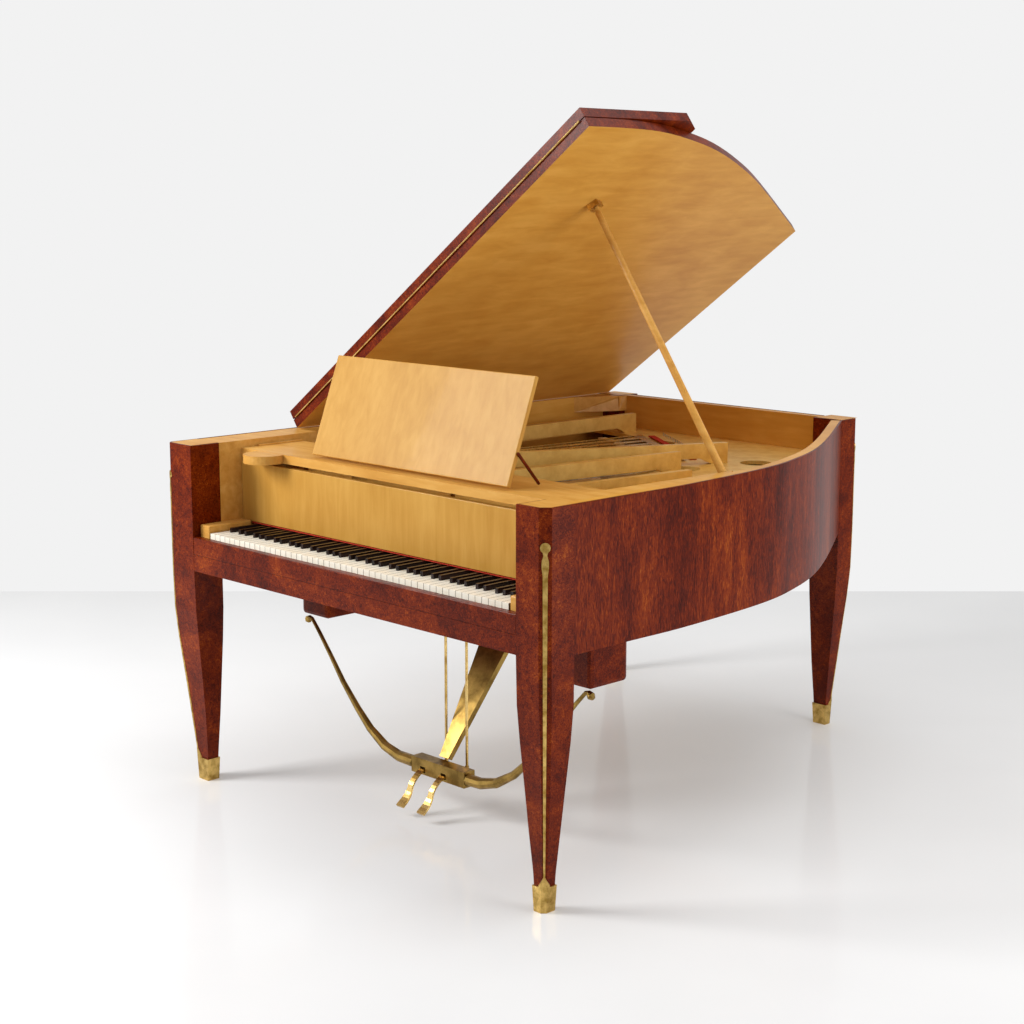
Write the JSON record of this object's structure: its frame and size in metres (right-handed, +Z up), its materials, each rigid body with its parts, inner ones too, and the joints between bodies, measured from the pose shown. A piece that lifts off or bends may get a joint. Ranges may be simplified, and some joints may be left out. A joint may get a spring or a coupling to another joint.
{
  "type": "grand piano",
  "caption": "Grand piano with a bent case on tapered legs, open lid with folded front flap, music desk, keyboard and two pedals on a lyre.",
  "frame": {"origin": "on the floor, below the middle of the whole object's box at rest", "axes": "+Z up, +Y to the tail, +X to the treble side"},
  "size_m": [1.555, 1.8915, 1.9221],
  "materials": {
    "burl": "high gloss",
    "maple": "high gloss",
    "spruce": "satin",
    "beech": "plain",
    "bronze": "aged",
    "brass": "polished",
    "gold_iron": "gold lacquer",
    "steel": "bright",
    "ivory": "ivory coloured, polished",
    "ebony": "black, polished"
  },
  "bodies": {
    "case": {"bass_key_block": "maple", "bass_ledge": "maple", "bass_strings": "brass", "bent_side": "burl", "bridge": "beech", "corner_block": "maple", "front_left_leg": "burl", "front_left_mount": "bronze", "front_right_leg": "burl", "front_right_mount": "bronze", "iron_frame": "gold_iron", "keybed": "burl", "keyslip": "burl", "lyre_arm_left": "bronze", "lyre_arm_right": "bronze", "lyre_block_left": "burl", "lyre_block_right": "burl", "lyre_brace": "bronze", "middle_strings": "steel", "pedal_box": "bronze", "prop_bracket": "brass", "rear_left_leg": "burl", "rear_left_mount": "bronze", "rear_right_leg": "burl", "rear_right_mount": "bronze", "soundboard": "spruce", "spine_wall": "burl", "tail_wall": "burl", "treble_key_block": "maple", "treble_ledge": "maple", "treble_strings": "steel", "under_beams": "beech", "wrest_plank": "maple"},
    "key_frame": {"key_frame": "beech", "action_rail": "maple"},
    "lid": {"lid_main": "maple", "flap_hinge": "brass", "prop_cup": "brass"},
    "bass_naturals": {"bass_naturals": "ivory"},
    "bass_sharps": {"bass_sharps": "ebony"},
    "key_c4": {"key_c4": "ivory"},
    "key_c_sharp4": {"key_c_sharp4": "ebony"},
    "key_d4": {"key_d4": "ivory"},
    "key_d_sharp4": {"key_d_sharp4": "ebony"},
    "key_e4": {"key_e4": "ivory"},
    "treble_naturals": {"treble_naturals": "ivory"},
    "treble_sharps": {"treble_sharps": "ebony"},
    "damper_rail": {"damper_rail": "maple"},
    "fallboard": {"fallboard": "maple"},
    "desk_tray": {"desk_tray": "maple"},
    "music_desk": {"music_desk": "maple"},
    "desk_strut": {"desk_strut": "burl"},
    "lid_flap": {"lid_flap": "burl"},
    "lid_prop": {"lid_prop": "maple"},
    "pedal_left": {"pedal_left": "brass"},
    "pedal_right": {"pedal_right": "brass"},
    "pedal_rod_left": {"pedal_rod_left": "brass"},
    "pedal_rod_right": {"pedal_rod_right": "brass"}
  },
  "joints": [
    {"name": "key_frame_shift", "type": "slide", "parent": "case", "child": "key_frame", "axis": [1, 0, 0], "range_m": [0, 0.0026]},
    {"name": "bass_naturals_press", "type": "hinge", "parent": "key_frame", "child": "bass_naturals", "pos_m": [0.018, -0.699, 0.744], "axis": [1, 0, 0], "range_deg": [0, 2.6], "stiffness_Nm_per_rad": 60},
    {"name": "bass_sharps_press", "type": "hinge", "parent": "key_frame", "child": "bass_sharps", "pos_m": [0.018, -0.699, 0.744], "axis": [1, 0, 0], "range_deg": [0, 2.6], "stiffness_Nm_per_rad": 60},
    {"name": "key_c4_press", "type": "hinge", "parent": "key_frame", "child": "key_c4", "pos_m": [0.018, -0.699, 0.744], "axis": [1, 0, 0], "range_deg": [0, 2.6], "stiffness_Nm_per_rad": 3},
    {"name": "key_c_sharp4_press", "type": "hinge", "parent": "key_frame", "child": "key_c_sharp4", "pos_m": [0.018, -0.699, 0.744], "axis": [1, 0, 0], "range_deg": [0, 2.6], "stiffness_Nm_per_rad": 3},
    {"name": "key_d4_press", "type": "hinge", "parent": "key_frame", "child": "key_d4", "pos_m": [0.018, -0.699, 0.744], "axis": [1, 0, 0], "range_deg": [0, 2.6], "stiffness_Nm_per_rad": 3},
    {"name": "key_d_sharp4_press", "type": "hinge", "parent": "key_frame", "child": "key_d_sharp4", "pos_m": [0.018, -0.699, 0.744], "axis": [1, 0, 0], "range_deg": [0, 2.6], "stiffness_Nm_per_rad": 3},
    {"name": "key_e4_press", "type": "hinge", "parent": "key_frame", "child": "key_e4", "pos_m": [0.018, -0.699, 0.744], "axis": [1, 0, 0], "range_deg": [0, 2.6], "stiffness_Nm_per_rad": 3},
    {"name": "treble_naturals_press", "type": "hinge", "parent": "key_frame", "child": "treble_naturals", "pos_m": [0.018, -0.699, 0.744], "axis": [1, 0, 0], "range_deg": [0, 2.6], "stiffness_Nm_per_rad": 60},
    {"name": "treble_sharps_press", "type": "hinge", "parent": "key_frame", "child": "treble_sharps", "pos_m": [0.018, -0.699, 0.744], "axis": [1, 0, 0], "range_deg": [0, 2.6], "stiffness_Nm_per_rad": 60},
    {"name": "damper_lift", "type": "slide", "parent": "case", "child": "damper_rail", "axis": [0, 0, 1], "range_m": [0, 0.005]},
    {"name": "fallboard_turn", "type": "hinge", "parent": "case", "child": "fallboard", "pos_m": [0.018, -0.766, 0.78], "axis": [1, 0, 0], "range_deg": [0, 90]},
    {"name": "desk_tray_slide", "type": "slide", "parent": "case", "child": "desk_tray", "axis": [0, 1, 0], "range_m": [0, 0.1]},
    {"name": "music_desk_fold", "type": "hinge", "parent": "desk_tray", "child": "music_desk", "pos_m": [0.018, -0.739, 0.99], "axis": [-1, 0, 0], "range_deg": [0, 69]},
    {"name": "desk_strut_fold", "type": "hinge", "parent": "music_desk", "child": "desk_strut", "pos_m": [0.018, -0.70903, 1.07103], "axis": [1, 0, 0], "range_deg": [0, 117.3]},
    {"name": "lid_open", "type": "hinge", "parent": "case", "child": "lid", "pos_m": [-0.747, 0, 1.003], "axis": [0, -1, 0], "range_deg": [0, 10]},
    {"name": "flap_turn", "type": "hinge", "parent": "lid", "child": "lid_flap", "pos_m": [-0.76361, -0.49, 1.02616], "axis": [0.8126, 0, 0.5828], "range_deg": [0, 180]},
    {"name": "lid_prop_fold", "type": "hinge", "parent": "case", "child": "lid_prop", "pos_m": [0.694, -0.204, 0.986], "axis": [-0.7588, -0.3824, -0.5273], "range_deg": [0, 70]},
    {"name": "pedal_left_press", "type": "hinge", "parent": "case", "child": "pedal_left", "pos_m": [-0.035, -0.594, 0.117], "axis": [1, 0, 0], "range_deg": [0, 8], "stiffness_Nm_per_rad": 20},
    {"name": "pedal_rod_left_lift", "type": "slide", "parent": "case", "child": "pedal_rod_left", "axis": [0, 0, 1], "range_m": [0, 0.01061]},
    {"name": "pedal_right_press", "type": "hinge", "parent": "case", "child": "pedal_right", "pos_m": [0.051, -0.594, 0.117], "axis": [1, 0, 0], "range_deg": [0, 8], "stiffness_Nm_per_rad": 20},
    {"name": "pedal_rod_right_lift", "type": "slide", "parent": "case", "child": "pedal_rod_right", "axis": [0, 0, 1], "range_m": [0, 0.01061]}
  ],
  "couplings": [
    {"joint": "key_frame_shift", "follows": "pedal_left_press", "m_per_rad": 0.0186},
    {"joint": "damper_lift", "follows": "pedal_right_press", "m_per_rad": 0.0358},
    {"joint": "pedal_rod_left_lift", "follows": "pedal_left_press", "m_per_rad": 0.076},
    {"joint": "pedal_rod_right_lift", "follows": "pedal_right_press", "m_per_rad": 0.076},
    {"joint": "desk_strut_fold", "follows": "music_desk_fold", "ratio": 1.7}
  ]
}
